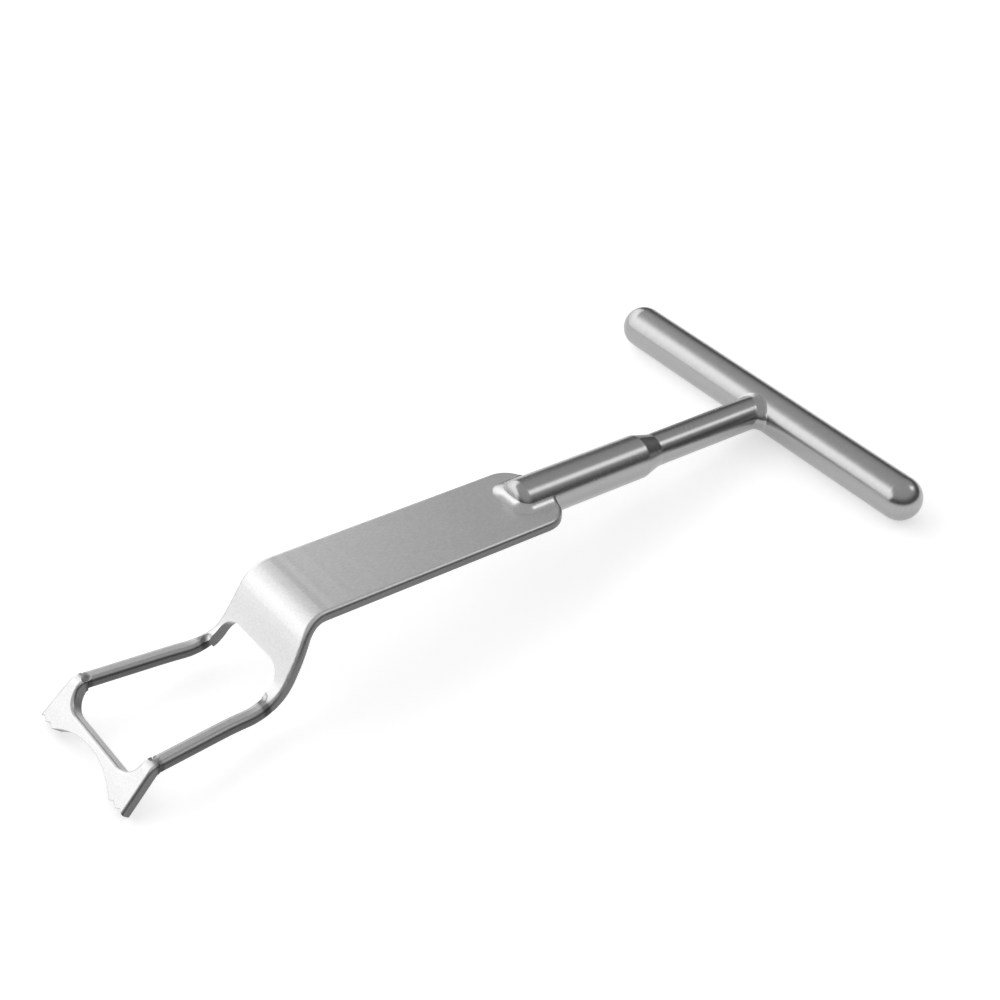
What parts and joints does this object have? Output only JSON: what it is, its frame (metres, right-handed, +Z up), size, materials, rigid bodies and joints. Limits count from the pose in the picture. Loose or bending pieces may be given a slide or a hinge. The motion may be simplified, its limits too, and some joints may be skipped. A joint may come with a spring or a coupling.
{
  "type": "surgical retractor",
  "caption": "T-handled bone retractor: a round crossbar and stepped shank welded to a bent, windowed blade that ends in toothed horns.",
  "frame": {"origin": "middle of the whole tool's box, at the table it lies on", "axes": "+X from the crossbar towards the toothed horns, +Y across the blade, +Z up; the tool lies on its crossbar and its teeth, so the shank rises 6.1 degrees towards the horns"},
  "size_m": [0.2292, 0.1186, 0.0253],
  "materials": {
    "blade_steel": "fine satin grain across the flat, buffed bright at the bends",
    "bar_steel": "buffed round bar with a soft sheen",
    "weld_steel": "fillet ground and blended into its neighbours"
  },
  "bodies": {
    "root": {"blade": "blade_steel", "shank": "bar_steel", "crossbar": "bar_steel", "crossbar_weld": "weld_steel", "blade_weld": "weld_steel"}
  },
  "joints": []
}
